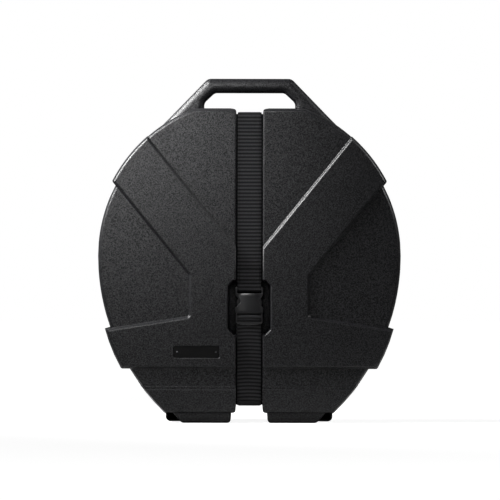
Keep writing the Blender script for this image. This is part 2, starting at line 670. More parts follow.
def labelOutline(border=0.0):
    x, z = labelRecess["width"] / 2 - border, labelRecess["height"] / 2 - border
    cx, cz = labelRecess["x"], labelRecess["z"]
    return roundCorners([(cx - x, cz - z), (cx + x, cz - z), (cx + x, cz + z), (cx - x, cz + z)],
                        labelRecess["cornerR"] - border)


def lidShell():
    s, p = shell, pocket
    made, hollow = mouldedShell("lidMoulding", 1, True, channel["lidLowZ"])
    cut(hollow, loft("pocketRidge", pocketOutline(s["wall"]), [(frontY, 0), (-(p["floorY"] - s["wall"]), 0)]))
    cut(made, hollow)
    cut(made, channelBelt("lidChannel", channel["lidLowZ"]))
    roundChannel(made, 1)
    rim = -(s["faceY"] + s["bandRelief"]) - hair
    around = [(rim + down, -p["draft"] - side) for down, side in edgeLevels(p["edgeR"], 5)]
    cut(made, loft("pocket", pocketOutline(), [(frontY, -p["draft"] - p["edgeR"])] + around
                   + [(-p["floorY"], p["draft"])]))
    recessY = s["faceY"] + s["bandRelief"] - labelRecess["depth"]
    around = [(rim + down, -side) for down, side in edgeLevels(labelRecess["edgeR"], 4)]
    cut(made, loft("labelRecess", labelOutline(), [(frontY, -labelRecess["edgeR"])] + around
                   + [(-recessY, 0)]))
    for side in (-1, 1):
        cut(made, rod("hole", labelRecess["holeR"], (frontY, -recessY + labelRecess["holeDepth"]),
                      labelRecess["x"] + side * labelRecess["rivetX"], labelRecess["z"], 24))
    cut(made, slab("parting", (-wide, wide), (s["partingY"] - s["gap"] / 2, 100),
                   (-spare, s["topZ"] + spare)))
    return finishPiece(made, "lid", ["lid_shell"], "lid_shell")


def baseShell():
    s, h = shell, handle
    made, hollow = mouldedShell("baseMoulding", -1, False, channel["baseLowZ"])
    half = [(h["topHalf"], h["topZ"]), (h["sideHalf"], h["sideZ"]),
            (h["sideHalf"] + h["rootRun"], h["sideZ"] - h["rootRun"]),
            (h["sideHalf"] + h["rootRun"], h["rootZ"])]
    corners = [(-x, z) for x, z in reversed(half)] + half
    grip = roundCorners(corners, [h["cornerR"] if z == h["topZ"] else 0 for x, z in corners], 8)
    backY = h["frontY"] + h["depth"]
    cut(made, loft("handle", grip, plateLevels(h["frontY"], backY, h["edgeR"], 8)), "UNION")
    cut(made, hollow)
    under = h["floorZ"] - h["rootRun"]
    hole = roundCorners([(h["shoulderHalf"], under), (h["shoulderHalf"], h["shoulderZ"]),
                         (h["gripHalf"], h["gripLowZ"]), (-h["gripHalf"], h["gripLowZ"]),
                         (-h["shoulderHalf"], h["shoulderZ"]), (-h["shoulderHalf"], under)], h["gripR"])
    flare = [(y, -side) for y, side in plateLevels(h["frontY"], backY, h["flare"], 8)]
    opening = loft("gripOpening", hole, [(h["frontY"] - spare, -h["flare"])] + flare
                   + [(backY + spare, -h["flare"])])
    cut(opening, slab("gripFloor", (-wide, wide), (-100, 100), (postZ, h["floorZ"])))
    cut(made, opening)
    cut(made, channelBelt("baseChannel", channel["baseLowZ"]))
    roundChannel(made, -1)
    cut(made, rod("postHole", holes["postR"], (0, 100), 0, postZ))
    for z in rivetHeights:
        cut(made, rod("strapHole", holes["rivetR"], (0, 100), 0, z, 24))
    cut(made, slab("parting", (-wide, wide), (-100, s["partingY"] + s["gap"] / 2),
                   (-spare, h["topZ"] + spare)))
    slope = s["draft"] / abs(s["partingY"] + s["faceY"])
    side = s["wall"] + lip["clear"]
    tip = s["partingY"] - lip["reach"]
    fine = caseOutline(fineness=8)
    ridge = loft("lip", fine, [
        (tip, side + slope * lip["reach"] + lip["chamfer"]),
        (tip + lip["chamfer"] * 2, side + slope * lip["reach"]),
        (s["partingY"] + lip["chamfer"], side),
        (s["partingY"] + lip["chamfer"] * 2, s["wall"] - lip["bite"]),
        (s["partingY"] + lip["reach"] + lip["chamfer"], s["wall"] - lip["bite"])])
    cut(ridge, loft("lipInside", fine, [
        (tip - spare, side + lip["thick"] + slope * lip["reach"]),
        (s["partingY"] + lip["chamfer"] * 1.5, side + lip["thick"]),
        (s["partingY"] + spare, s["wall"] - lip["bite"] / 2)]))
    notch = channel["half"] + s["wall"] + lip["clear"] + lip["thick"]
    for z in ((postZ, s["topZ"] + spare), (-spare, postZ)):
        cut(ridge, slab("notch", (-notch, notch), (-spare * 4, spare * 4), z))
    cut(made, ridge, "UNION")
    return finishPiece(made, "base", ["base_shell"], "base_shell")


lidShell()
print("lid moulded")
baseShell()
print("base moulded")


def newTree(name, sockets):
    tree = bpy.data.node_groups.new(name, "GeometryNodeTree")
    for label, kind, value in [("Geometry", "NodeSocketGeometry", None)] + sockets:
        socket = tree.interface.new_socket(label, in_out="INPUT", socket_type=kind)
        if value is not None:
            socket.default_value = value
    tree.interface.new_socket("Geometry", in_out="OUTPUT", socket_type="NodeSocketGeometry")
    return tree, addNode(tree, "NodeGroupInput").outputs


def closeTree(tree, geometry, material):
    real = addNode(tree, "GeometryNodeRealizeInstances", inputs={"Geometry": geometry})
    dressed = addNode(tree, "GeometryNodeSetMaterial", inputs={"Geometry": real, "Material": material})
    addNode(tree, "NodeGroupOutput", inputs={"Geometry": dressed})


def runTree(made, tree, values):
    step = made.modifiers.new("nodes", "NODES")
    step.node_group = tree
    for socket in tree.interface.items_tree:
        if socket.in_out == "INPUT" and socket.name in values:
            step[socket.identifier] = values[socket.name]
    applySteps(made)


strap = {"half": 25.0, "halfThick": 0.86, "rowMm": 0.9, "columns": 22, "ribMm": webbing["ribMm"],
         "ribHeight": 0.17, "selvedge": 2.6, "seed": 7,
         "closeFrom": 0.86, "closeTo": 0.985, "squareness": 12,
         "topZ": 650.5, "lidLowZ": 45.2, "baseLowZ": 34.0, "frontY": 74.1, "underY": 71.8, "overY": 77.4,
         "loopBackY": 68.5, "backY": 71.8, "boltY": 75.0, "lidEndY": -60.15, "baseEndY": 4.15, "loopZ": 275.0,
         "sewnZ": (286.0, 294.0, 330.0), "plugZ": (212.8, 216.2, 225.7, 227.1), "tailZ": 100.0,
         "boltZ": (395.0, 366.0, 334.0, 305.0), "bendR": 4.5, "plugBendR": 2.2, "slackY": (-54.0, -16.0),
         "tailShift": -2.3, "tailMiddleZ": 190.0, "tailSpread": 26.0, "hidingY": -72.6}


def ribTree():  # cross ribs that fade out at the selvedges, with a little unevenness
    tree, given = newTree("webbingRibs", [
        ("Rib pitch", "NodeSocketFloat", 2.0), ("Rib height", "NodeSocketFloat", 0.2),
        ("Half width", "NodeSocketFloat", 25.0), ("Selvedge", "NodeSocketFloat", 2.0),
        ("Seed", "NodeSocketInt", 1)])
    along = addNode(tree, "GeometryNodeInputNamedAttribute", {"data_type": "FLOAT"}, {"Name": "alongMm"})
    across = addNode(tree, "GeometryNodeInputNamedAttribute", {"data_type": "FLOAT"}, {"Name": "acrossMm"})
    turns = addNode(tree, "ShaderNodeMath", {"operation": "DIVIDE"}, {0: along, 1: given["Rib pitch"]})
    angle = addNode(tree, "ShaderNodeMath", {"operation": "MULTIPLY"}, {0: turns, 1: 2 * math.pi})
    wave = addNode(tree, "ShaderNodeMath", {"operation": "COSINE"}, {0: angle})
    rib = addNode(tree, "ShaderNodeMapRange", {"interpolation_type": "SMOOTHSTEP"},
                  {"Value": wave, 1: -0.75, 2: 0.35, 3: -0.5, 4: 0.5})
    side = addNode(tree, "ShaderNodeMath", {"operation": "ABSOLUTE"}, {0: across})
    left = addNode(tree, "ShaderNodeMath", {"operation": "SUBTRACT"}, {0: given["Half width"], 1: side})
    fade = addNode(tree, "ShaderNodeMapRange", {"interpolation_type": "SMOOTHSTEP"},
                   {"Value": left, 1: 0.6, 2: given["Selvedge"], 3: 0.0, 4: 1.0})
    place = addNode(tree, "GeometryNodeInputPosition")
    noise = addNode(tree, "ShaderNodeTexNoise", {"noise_dimensions": "4D"},
                    {"Vector": place, "W": given["Seed"], "Scale": 0.13, "Detail": 2.0})
    uneven = addNode(tree, "ShaderNodeMapRange", inputs={"Value": noise, 1: 0.3, 2: 0.7, 3: 0.7,
                                                        4: 1.15})
    lift = rib
    for factor in (fade, uneven, given["Rib height"]):
        lift = addNode(tree, "ShaderNodeMath", {"operation": "MULTIPLY"}, {0: lift, 1: factor})
    normal = addNode(tree, "GeometryNodeInputNormal")
    offset = addNode(tree, "ShaderNodeVectorMath", {"operation": "SCALE"},
                     {0: normal, "Scale": lift})
    moved = addNode(tree, "GeometryNodeSetPosition", inputs={"Geometry": given["Geometry"],
                                                            "Offset": offset})
    closeTree(tree, moved, materials["webbing"])
    return tree


webbingRibs = ribTree()


def resample(path, step):
    points = [Vector(p) for p in path]
    lengths = [(b - a).length for a, b in zip(points, points[1:])]
    total = sum(lengths)
    count = max(2, round(total / step))
    result, index, passed = [], 0, 0.0
    for i in range(count + 1):
        want = total * i / count
        while index < len(lengths) - 1 and passed + lengths[index] < want:
            passed += lengths[index]
            index += 1
        result.append((points[index].lerp(points[index + 1], (want - passed) / lengths[index]), want))
    return result


def webbingPiece(name, path, bow=0.0, sway=None):
    # a ribbed band along (y, z) points; bow curves its ribs, sway shifts it sideways
    s = strap
    rows = resample(path, s["rowMm"])
    n = s["columns"]
    section = []
    for i in range(n + 1):
        x = -s["half"] + 2 * s["half"] * i / n
        if abs(x) > s["half"] * s["closeFrom"]:
            x = s["half"] * math.sin(math.pi / 2 * max(-1, min(1, x / s["half"])))
        section.append(x)
    section = sorted({-s["half"], s["half"], *(x for x in section if abs(x) < s["half"] * s["closeTo"])})
    ring = [(x, 1) for x in section] + [(x, -1) for x in reversed(section[1:-1])]
    bm = bmesh.new()
    alongLayer = bm.verts.layers.float.new("alongMm")
    acrossLayer = bm.verts.layers.float.new("acrossMm")
    rings = []
    for i, (point, along) in enumerate(rows):
        before = rows[max(0, i - 1)][0]
        after = rows[min(len(rows) - 1, i + 1)][0]
        tangent = (after - before).normalized()
        normal = Vector((-tangent.y, tangent.x))
        shift = sway(point) if sway else 0.0
        made = []
        for x, side in ring:
            thick = s["halfThick"] * max(0.0, 1 - abs(x / s["half"]) ** s["squareness"]) ** 0.5
            at = point + normal * thick * side
            vert = bm.verts.new((x + shift, at.x, at.y))
            vert[alongLayer] = along + bow * (x / s["half"]) ** 2
            vert[acrossLayer] = x
            made.append(vert)
        rings.append(made)
    piece = skinRings(name, bm, rings)
    piece.data.shade_smooth()
    runTree(piece, webbingRibs, {"Rib pitch": s["ribMm"], "Rib height": s["ribHeight"],
                                 "Half width": s["half"], "Selvedge": s["selvedge"], "Seed": s["seed"]})
    return piece


def finishStrap(piece, body, node):
    return finishPiece(piece, body, [node], "webbing", smoothDegrees=60, weighted=False)


def tailSway(point):  # the loose tail behind lies a little to the left of the front run
    if point.x < strap["hidingY"]:
        return 0.0
    return strap["tailShift"] * math.exp(-((point.y - strap["tailMiddleZ"]) / strap["tailSpread"]) ** 2)


s = strap
front, under = -s["frontY"], -s["underY"]
upperPath = bendPath([(s["lidEndY"], s["topZ"]), (front, s["topZ"]), (front, s["loopZ"]),
                      (-s["loopBackY"], s["loopZ"]), (-s["loopBackY"], s["sewnZ"][0]),
                      (under, s["sewnZ"][1]), (under, s["sewnZ"][2])], s["bendR"])
finishStrap(webbingPiece("strapUpper", upperPath), "lid", "strap_upper")
lowerPath = bendPath([(s["lidEndY"], s["lidLowZ"]), (front, s["lidLowZ"]), (front, s["plugZ"][0]),
                      (-s["overY"], s["plugZ"][1]), (-s["overY"], s["plugZ"][2]), (under, s["plugZ"][3]),
                      (under, s["tailZ"])], s["plugBendR"])
finishStrap(webbingPiece("strapLower", lowerPath, bow=1.6, sway=tailSway), "lid", "strap_lower")
backYs = (s["backY"], s["boltY"], s["boltY"], s["backY"])
backPath = bendPath([(s["baseEndY"], s["topZ"]), (s["backY"], s["topZ"]), *zip(backYs, s["boltZ"]),
                     (s["backY"], s["baseLowZ"]), (s["baseEndY"], s["baseLowZ"])], s["bendR"])
strapBack = webbingPiece("strapBack", backPath)
for z in rivetHeights:
    cut(strapBack, rod("eye", holes["rivetR"], (40, 100), 0, z, 24))
finishStrap(strapBack, "base", "strap_back")
topRun = finishStrap(webbingPiece("strapTopRun", [(-60.0, s["topZ"]), (4.0, s["topZ"])]), None,
                     "strap_top_run")
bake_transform(topRun)
lowPath = bendPath([(-60.0, s["lidLowZ"]), (s["slackY"][0], s["lidLowZ"]), (s["slackY"][1], s["baseLowZ"]),
                    (4.0, s["baseLowZ"])], 20.0)
lowRun = finishStrap(webbingPiece("strapLowRun", lowPath), None, "strap_low_run")
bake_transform(lowRun)
print("straps woven")

# stitches of the sewn loop: black bonded thread, 3 mm stitches in a box above the buckle
stitch = {"pitch": 3.2, "radius": 0.42, "length": 2.7, "rows": (293.0, 297.5, 320.5, 325.0), "half": 21.0,
          "y": -75.15}


def stitchTree():
    tree, given = newTree("stitchRow", [
        ("Stitch pitch", "NodeSocketFloat", 3.0), ("Thread radius", "NodeSocketFloat", 0.4),
        ("Stitch length", "NodeSocketFloat", 2.4)])
    rows = addNode(tree, "GeometryNodeMeshToCurve", inputs={"Mesh": given["Geometry"]})
    spots = addNode(tree, "GeometryNodeCurveToPoints", {"mode": "LENGTH"},
                    {"Curve": rows, "Length": given["Stitch pitch"]})
    far = addNode(tree, "ShaderNodeCombineXYZ", inputs={2: given["Stitch length"]})
    line = addNode(tree, "GeometryNodeCurvePrimitiveLine", inputs={"End": far})
    fine = addNode(tree, "GeometryNodeResampleCurve", inputs={"Curve": line, "Count": 7})
    factor = addNode(tree, "GeometryNodeSplineParameter")
    angle = addNode(tree, "ShaderNodeMath", {"operation": "MULTIPLY"},
                    {0: factor.outputs["Factor"], 1: math.pi})
    sine = addNode(tree, "ShaderNodeMath", {"operation": "SINE"}, {0: angle})
    taper = addNode(tree, "ShaderNodeMapRange", inputs={"Value": sine, 1: 0.0, 2: 0.6, 3: 0.35,
                                                       4: 1.0})
    shaped = addNode(tree, "GeometryNodeSetCurveRadius", inputs={"Curve": fine,
                                                                "Radius": taper})
    ring = addNode(tree, "GeometryNodeCurvePrimitiveCircle", inputs={"Resolution": 7,
                                                                    "Radius": given["Thread radius"]})
    thread = addNode(tree, "GeometryNodeCurveToMesh", inputs={
        "Curve": shaped, "Profile Curve": ring, "Fill Caps": True})
    laid = addNode(tree, "GeometryNodeInstanceOnPoints", inputs={
        "Points": spots, "Instance": thread,
        "Rotation": spots.outputs["Rotation"]})
    smooth = addNode(tree, "GeometryNodeSetShadeSmooth", inputs={"Geometry": laid})
    closeTree(tree, smooth, materials["webbing"])
    return tree


bm = bmesh.new()
h, low, high = stitch["half"], stitch["rows"][0], stitch["rows"][-1]
for a, b in [((-h, z), (h, z)) for z in stitch["rows"]] + [((-h, low), (-h, high)), ((h, low), (h, high))]:
    bm.edges.new([bm.verts.new((x, stitch["y"], z)) for x, z in (a, b)])
boxStitch = meshObject("boxStitch", bm)
runTree(boxStitch, stitchTree(), {"Stitch pitch": stitch["pitch"], "Thread radius": stitch["radius"],
                                  "Stitch length": stitch["length"]})
finishPiece(boxStitch, "lid", None, "webbing", smoothDegrees=0, weighted=False)
print("loop stitched")


buckle = {"backY": 65.5, "frameY": 77.0, "shieldY": 79.2, "shieldCrown": 2.7, "lowZ": 231.0, "edge": 1.2,
          "frontR": 1.6, "inside": (-23.6, 23.6), "insideY": (-75.8, -68.0), "insideTop": 268.0,
          "barY": (-72.8, -69.8), "barZ": (277.0, 282.0), "barSlot": 25.6, "slotLowZ": 271.4,
          "barLowZ": 275.8, "roof": 297.0}
# corners of the right half and the radius of each
socketHalf = ((0.0, 285.0, 0), (27.1, 285.0, 2.2), (29.5, 282.6, 2.2), (29.5, 269.1, 0), (28.3, 266.7, 2.2),
              (21.36, 259.0, 0), (18.5, 254.5, 2.4), (20.7, 250.0, 0), (28.3, 242.3, 2.2), (29.5, 239.9, 0),
              (29.5, 231.0, 1.9), (0.0, 231.0, 0))
shieldHalf = ((0.0, 271.3, 0), (25.6, 271.3, 1.6), (23.4, 264.0, 0), (18.3, 257.0, 4.0), (17.8, 252.0, 4.0),
              (20.6, 246.0, 6.0), (22.6, 238.0, 0), (22.2, 231.5, 1.6), (0.0, 230.7, 0))
plugHalf = ((0.0, 230.4, 0), (28.2, 230.4, 1.9), (28.2, 210.8, 2.4), (26.2, 208.4, 2.4), (15.51, 205.84, 0),
            (0.0, 205.2, 0))


def roundedHalf(half):
    rows = half + tuple((-x, z, r) for x, z, r in reversed(half) if x > 0)
    return roundCorners([(x, z) for x, z, r in rows], [r for x, z, r in rows], 5)


def pillow(name, halfX, z, front, backY, columns=30, rows=24):
    # closed block whose front face follows front(x, z)
    bm = bmesh.new()
    grid = [[bm.verts.new((x, front(x, zz), zz)) for x in (-halfX + 2 * halfX * i / columns
                                                          for i in range(columns + 1))]
            for zz in (z[0] + (z[1] - z[0]) * j / rows for j in range(rows + 1))]
    for low, high in zip(grid, grid[1:]):
        for i in range(columns):
            bm.faces.new((low[i], low[i + 1], high[i + 1], high[i]))
    border = (grid[0][:-1] + [row[-1] for row in grid[:-1]] + grid[-1][:0:-1]
              + [row[0] for row in grid[:0:-1]])
    back = [bm.verts.new((v.co.x, backY, v.co.z)) for v in border]
    for i in range(len(border)):
        bm.faces.new((border[i - 1], border[i], back[i], back[i - 1]))
    bm.faces.new(back)
    return meshObject(name, bm)


def buckleSocket():
    b = buckle
    frame = loft("buckleSocket", roundedHalf(socketHalf),
                 plateLevels(-b["frameY"], -b["backY"], b["frontR"], 4, b["edge"]))
    shield = loft("shield", roundedHalf(shieldHalf), [(-90.0, 0), (-74.0, 0)])
    cut(shield, pillow("shieldFront", 40, (225, 276),
                       lambda x, z: (-b["shieldY"] + b["shieldCrown"] * (x / 25) ** 2
                                     + 0.9 * max(0.0, (z - 266.5) / 5) ** 2
                                     + 0.5 * max(0.0, (236 - z) / 5) ** 2), -70), "INTERSECT")
    cut(frame, shield, "UNION")
    cut(frame, slab("cavity", b["inside"], b["insideY"], (b["lowZ"] - spare, b["insideTop"])))
    side, roof = b["barSlot"], b["roof"]
    cut(frame, slab("slot", (-side, side), (frontY, 0), (b["slotLowZ"], b["barZ"][0])))
    cut(frame, slab("barFront", (-side, side), (frontY, b["barY"][0]), (b["barLowZ"], roof)))
    cut(frame, slab("barBack", (-side, side), (b["barY"][1], 0), (b["barLowZ"], roof)))
    cut(frame, slab("barTop", (-side, side), (frontY, 0), (b["barZ"][1], roof)))
    return finishPiece(frame, "lid", ["buckle_socket"], "buckle")


plug = {"frontY": -78.4, "railX": 25.4, "windowZ": (212.2, 229.4), "frontBarY": -75.4, "pastY": -60.0,
        "pastZ": 193.0, "middleBar": ((-40, 40), (-76.1, -73.1), (218.0, 224.5)),
        "tongue": ((-23.3, 23.3), (-75.5, -68.3), (229.2, 234.1)),
        "guide": ((-4.0, 4.0), (-75.2, -68.6), (229.8, 256.0))}


def bucklePlug():
    b, p = buckle, plug
    made = loft("bucklePlug", roundedHalf(plugHalf),
                plateLevels(p["frontY"], -b["backY"], b["frontR"], 4, b["edge"]))
    # one opening between the rails leaves the front bar, and the middle bar stands free in it
    low, high = p["windowZ"]
    opening = beam("plugOpening", [(frontY, high), (p["pastY"], high), (p["pastY"], p["pastZ"]),
                                   (p["frontBarY"], p["pastZ"]), (p["frontBarY"], low), (frontY, low)],
                   p["railX"])
    cut(opening, slab("middleBar", *p["middleBar"]))
    cut(made, opening)
    tongue = slab("tongue", *p["tongue"])
    cut(tongue, slab("guide", *p["guide"]), "UNION")
    cut(made, tongue, "UNION")
    return finishPiece(made, "lid", ["buckle_plug"], "buckle")


arm = {"pivot": (18.0, 236.8), "pivotR": 2.4, "y": (-75.5, -68.3), "edge": 0.9, "points": (
    (21.1, 244.9), (23.0, 248.5), (26.2, 245.3), (26.2, 254.5), (23.3, 261.7), (21.1, 265.5), (18.0, 265.0),
    (16.3, 256.4), (16.3, 244.9)), "radii": (1.5, 0.4, 0.9, 3.5, 3.0, 1.2, 1.2, 4.0, 2.5)}


def buckleArm(side, word):
    root = arcPoints(*arm["pivot"], arm["pivotR"], math.radians(150), math.radians(400), 12)
    outline = roundCorners(root + list(arm["points"]), [0] * len(root) + list(arm["radii"]), 5)
    made = loft("buckleArm" + word, [(x * side, z) for x, z in outline], plateLevels(*arm["y"], arm["edge"]))
    return finishPiece(made, "arm_" + word.lower(), ["buckle_arm_" + word.lower()], "buckle")


buckleSocket()
bucklePlug()
buckleArm(1, "Right")
buckleArm(-1, "Left")
print("buckle moulded")


def lathe(name, profile, x=0.0, z=postZ, count=48, closed=False):
    # solid of revolution about the line through (x, z) along y; profile is (radius, y)
    bm = bmesh.new()
    rows = []
    for radius, y in profile:
        if radius < 1e-6:
            rows.append([bm.verts.new((x, y, z))])
        else:
            rows.append([bm.verts.new((x + radius * math.cos(a), y, z + radius * math.sin(a)))
                         for a in (2 * math.pi * i / count for i in range(count))])
    pairs = list(zip(rows, rows[1:])) + ([(rows[-1], rows[0])] if closed else [])
    for low, high in pairs:
        for i in range(count):
            ring = [low[i - 1] if len(low) > 1 else low[0], low[i] if len(low) > 1 else None,
                    high[i] if len(high) > 1 else None, high[i - 1] if len(high) > 1 else high[0]]
            bm.faces.new([v for v in ring if v is not None])
    return meshObject(name, bm)


plate = {"border": 1.0, "y": (-85.0, -84.1), "edge": 0.22}
rivet = {"headR": 1.9, "rise": 0.7, "seat": -0.15, "shankR": 1.2, "shank": 5.0, "y": -85.1}
labelPlate = loft("labelPlate", labelOutline(plate["border"]), plateLevels(*plate["y"], plate["edge"], 3))
rivetSpots = [labelRecess["x"] + side * labelRecess["rivetX"] for side in (-1, 1)]
for x in rivetSpots:
    cut(labelPlate, rod("eye", labelRecess["holeR"], (frontY, 0), x, labelRecess["z"], 24))
finishPiece(labelPlate, "lid", ["label_plate"], "label_plate")


def rivetTree(headAndShank):
    tree, given = newTree("rivetsOnPoints", [("Rivet size", "NodeSocketFloat", 1.0)])
    shape = addNode(tree, "GeometryNodeObjectInfo", inputs={"Object": headAndShank})
    spots = addNode(tree, "GeometryNodeMeshToPoints", inputs={"Mesh": given["Geometry"]})
    placed = addNode(tree, "GeometryNodeInstanceOnPoints", inputs={
        "Points": spots, "Instance": shape.outputs["Geometry"], "Scale": given["Rivet size"]})
    closeTree(tree, placed, materials["rivet"])
    return tree


r = rivet
dome = [(0.0, r["seat"] - r["rise"])] + [(r["headR"] * math.cos(a), r["seat"] - r["rise"] * math.sin(a))
                                         for a in (math.pi / 2 * i / 7 for i in range(6, -1, -1))]
rivetShape = lathe("rivetShape", dome + [(r["headR"], 0.0), (r["shankR"], 0.0), (r["shankR"], r["shank"]),
                                         (0.0, r["shank"])], 0, 0, 32)
shadeByAngle(rivetShape, 40)
bm = bmesh.new()
for x in rivetSpots:
    bm.verts.new((x, rivet["y"], labelRecess["z"]))
labelRivets = meshObject("labelRivets", bm)
runTree(labelRivets, rivetTree(rivetShape), {"Rivet size": 1.0})
bpy.data.objects.remove(rivetShape, do_unlink=True)
finishPiece(labelRivets, "lid", ["label_rivet_1", "label_rivet_2"], "rivet", smoothDegrees=0, weighted=False)
print("label riveted")


foamPad = {"radius": 265.0, "postRoom": 36.0, "near": 74.0, "thick": 18.0, "edge": 4.0, "crown": 1.4,
           "clear": 33.0, "behindY": 65.5, "sideThick": 8.0, "bevel": 1.5, "pocketRoom": 5.0,
           "pocketY": -59.0, "sideEdge": 2.5, "play": 0.5}


def facePad(name, into, body, node):
    p = foamPad
    near = -into * p["near"]
    far = near + into * p["thick"]
    hole = 0.0 if into > 0 else p["postRoom"]
    profile = [(hole, near), (p["radius"] - p["bevel"], near), (p["radius"], near + into * p["bevel"])]
    profile += [(p["radius"] - down, far - into * (side + p["crown"]))
                for down, side in edgeLevels(p["edge"], 5)]
    inner = p["radius"] - p["edge"]
    for i in range(9, 1, -1):
        r = inner * i / 10
        profile.append((r, far - into * p["crown"] * (r / inner) ** 2))
    profile.append((hole, far))
    made = lathe(name, profile, count=128, closed=hole > 0)
    outside = into * frontY
    cut(made, slab("channelRoom", (-p["clear"], p["clear"]), sorted((outside, -into * p["behindY"])),
                   (-spare, shell["topZ"])))
    if into > 0:
        cut(made, loft("pocketRoom", pocketOutline(p["pocketRoom"]), [(outside, 0), (p["pocketY"], 0)]))
    else:
        for z in rivetHeights:
            cut(made, rod("rivetRoom", holes["washerRoom"], (0, -frontY), 0, z))
    finishPiece(made, body, [node], "foam", 40)


def sidePad(name, into, startY, side, body, node):
    # a strip of foam round one side of the wall, its long edges rounded
    p, s = foamPad, shell
    stopY = -into * (p["near"] - p["thick"] - p["play"])
    low, high = sorted((startY, stopY))
    slope = s["draft"] / abs(s["partingY"] + into * s["faceY"])
    outer = s["wall"] + p["play"]

    def at(y, depth):
        return y, outer + depth + slope * abs(y - s["partingY"])

    rounded = edgeLevels(p["sideEdge"], 4)
    profile = ([at(low, 0), at(high, 0)]
               + [at(high - down, p["sideThick"] - inset) for down, inset in rounded]
               + [at((low + high) / 2, p["sideThick"])]
               + [at(low + down, p["sideThick"] - inset) for down, inset in reversed(rounded)])
    outline = caseOutline(fineness=5)
    bm = bmesh.new()
    rings = [[bm.verts.new((x, y, z)) for x, z in insetLoop(outline, inset)] for y, inset in profile]
    joinRings(bm, rings + rings[:1])
    made = meshObject(name, bm)
    cut(made, slab("side", sorted((side * p["clear"], side * 400)), (frontY, -frontY),
                    (-spare, s["topZ"] + spare)),
        "INTERSECT")
    finishPiece(made, body, [node], "foam", 40)


facePad("lidFacePad", 1, "lid", "lid_pad")
facePad("baseFacePad", -1, "base", "base_pad")
for word, side in (("Left", -1), ("Right", 1)):
    for half, into, startY in (("lid", 1, shell["partingY"] - lip["reach"] - foamPad["play"]),
                               ("base", -1, shell["partingY"] + spare)):
        sidePad(half + "SidePad" + word, into, startY, side, half, half + "_side_pad_" + word.lower())
print("foam laid")


def ringProfile(inner, outer, lowY, highY, edge, bulge=0.0, steps=4):
    # closed profile of a ring with rounded outer edges, its outer face swelling by bulge
    arc = [math.pi / 2 * i / steps for i in range(steps + 1)]
    profile = [(inner, lowY)]
    profile += [(outer - edge + edge * math.sin(a), lowY + edge * (1 - math.cos(a))) for a in arc]
    if bulge:
        profile.append((outer + bulge, (lowY + highY) / 2))
    profile += [(outer - edge + edge * math.sin(a), highY - edge * (1 - math.cos(a))) for a in reversed(arc)]
    return profile + [(inner, highY)]


felts = {"inner": 6.5, "outer": 17.8, "thick": 10.0, "edge": 2.6, "bulge": 0.7,
         "rows": (("lowerFelt", "base", "lower_felt", 44.0), ("upperFelt", "clamp", "upper_felt", 33.7))}


def postRing(name, body, node, inner, outer, lowY, highY, edge, material, bulge=0.0):
    made = lathe(name, ringProfile(inner, outer, lowY, highY, edge, bulge), count=64, closed=True)
    return finishPiece(made, body, [node], material, 40)


postRing("postPlate", "base", "post_plate", holes["postR"], 30.0, 62.7, 65.7, 0.6, "steel")
postRing("cupWasher", "base", "cup_washer", felts["inner"], 19.0, 54.3, 55.9, 0.5, "steel")
postRing("clampWasher", "clamp", "clamp_washer", holes["postR"], 19.0, 31.8, 33.4, 0.5, "steel")
postRing("postSleeve", "base", "post_sleeve", holes["postR"], 6.2, 34.0, 55.6, 0.3, "sleeve")
for name, body, node, low in felts["rows"]:
    postRing(name, body, node, felts["inner"], felts["outer"], low, low + felts["thick"],
                       felts["edge"], "felt", felts["bulge"])

bolt = {"radius": 4.0, "root": 3.42, "pitch": 1.25, "tipY": -30.0, "headY": 70.8, "headR": 8.5,
        "around": 32, "perTurn": 6, "boreR": 4.06, "footY": 70.6, "rimY": 71.6, "crown": 1.8,
        "topY": 73.4, "crownPower": 0.8}
lock = {"across": 7.5, "y": (57.4, 62.4), "chamfer": ((0.0, 57.2), (6.4, 57.2), (7.6, 58.3), (7.6, 62.0),
        (6.9, 62.4), (0.0, 62.45)), "collar": ((0.0, 60.0), (5.6, 60.0), (5.6, 56.8), (5.2, 56.25),
                                               (0.0, 56.2))}


def boltThread():  # ISO-like ridge: the radius rises and falls once a pitch, and turns with the angle
    b = bolt
    step = b["pitch"] / b["perTurn"]
    count = int((b["headY"] - b["tipY"]) / step)
    bm = bmesh.new()
    rings = []
    for j in range(count + 1):
        y = b["tipY"] + (b["headY"] - b["tipY"]) * j / count
        ring = []
        for i in range(b["around"]):
            angle = 2 * math.pi * i / b["around"]
            phase = (y / b["pitch"] + i / b["around"]) % 1
            ridge = min(1.0, max(0.0, 1.6 - abs(phase - 0.5) * 3.6))
            radius = b["root"] + (b["radius"] - b["root"]) * ridge
            radius = min(radius, b["radius"] - 1.0 + (y - b["tipY"]))
            ring.append(bm.verts.new((radius * math.cos(angle), y, postZ + radius * math.sin(angle))))
        rings.append(ring)
    return skinRings("postBolt", bm, rings)


postBolt = boltThread()
b = bolt
head = lathe("boltHead", [(0.0, b["footY"]), (b["headR"], b["headY"]), (b["headR"], b["rimY"])]
             + [(b["headR"] * math.cos(a) ** b["crownPower"], b["rimY"] + b["crown"] * math.sin(a))
                for a in (math.pi / 2 * i / 7 for i in range(1, 7))] + [(0.0, b["topY"])])
cut(postBolt, head, "UNION")
finishPiece(postBolt, "base", ["post_bolt"], "steel", 50)

hexagon = arcPoints(0, postZ, lock["across"], 0, math.radians(300), 5)
lockNut = loft("lockNut", hexagon, [(y, 0) for y in lock["y"]])
cut(lockNut, lathe("chamfer", lock["chamfer"]), "INTERSECT")
cut(lockNut, lathe("collar", lock["collar"]), "UNION")
cut(lockNut, rod("bore", bolt["boreR"], (40, 80), 0, postZ, 48))
finishPiece(lockNut, "base", ["lock_nut"], "steel")


